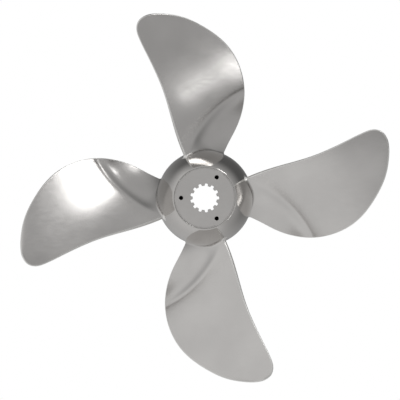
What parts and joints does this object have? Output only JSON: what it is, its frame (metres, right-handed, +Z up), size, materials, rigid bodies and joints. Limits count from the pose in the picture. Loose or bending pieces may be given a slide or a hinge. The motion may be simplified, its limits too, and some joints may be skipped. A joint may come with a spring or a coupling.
{
  "type": "boat propeller",
  "caption": "Four-blade stainless outboard propeller with a rounded, closed aft hub and a cushioned drive sleeve with internal splines.",
  "frame": {"origin": "centre of the drive hub's flat aft face, on the shaft axis", "axes": "-Y aft along the shaft axis, +Y forward, +Z up along blade 1's centre line, +X to the right when seen from aft"},
  "size_m": [0.2868, 0.086, 0.2868],
  "materials": {
    "stainless": "polished",
    "rubber": "matte",
    "spring_steel": "satin"
  },
  "bodies": {
    "drive": {"drive_hub": "stainless", "flange_seal": "rubber"},
    "propeller": {"hub_barrel": "stainless", "blade_1": "stainless", "blade_2": "stainless", "blade_3": "stainless", "blade_4": "stainless", "inner_hub": "stainless", "bush_can": "stainless", "cushion_bush": "rubber", "retaining_ring": "spring_steel"}
  },
  "joints": [
    {"name": "hub_windup", "type": "hinge", "parent": "drive", "child": "propeller", "pos_m": [0, 0.03, 0], "axis": [0, 1, 0], "range_deg": [-2, 2], "stiffness_Nm_per_rad": 300}
  ]
}
